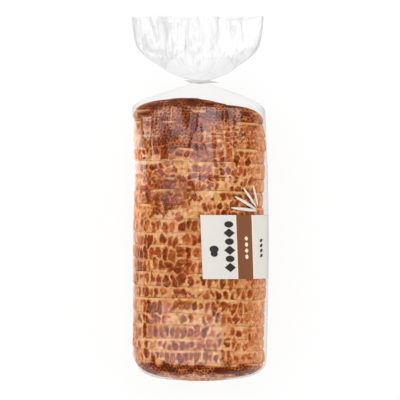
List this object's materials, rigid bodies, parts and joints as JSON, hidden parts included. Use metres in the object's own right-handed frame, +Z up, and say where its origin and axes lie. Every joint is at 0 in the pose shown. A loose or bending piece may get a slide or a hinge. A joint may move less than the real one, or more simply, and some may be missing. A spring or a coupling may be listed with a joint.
{
  "type": "sliced tiger bread loaf in a bag",
  "caption": "Sliced tiger bread loaf with a crackled brown crust, lying crust up in a clear film bag gathered to a tied neck and a flared tail.",
  "frame": {"origin": "on the resting surface, under the middle of the whole pack", "axes": "+Y along the loaf towards the tied neck and the tail, +X to the right with the tail pointing away, +Z up through the crackled crust"},
  "size_m": [0.1381, 0.3642, 0.1127],
  "materials": {
    "bag_with_loaf": "clear film drawn over brown crust",
    "film": "clear gloss",
    "crust": "matte crackled crust",
    "crumb": "matte open crumb",
    "print": "warm white ink on film",
    "tie": "clear grey gloss"
  },
  "bodies": {
    "root": {"bread_bag": "bag_with_loaf", "printed_panel": "print", "bag_tie": "tie"}
  },
  "joints": []
}
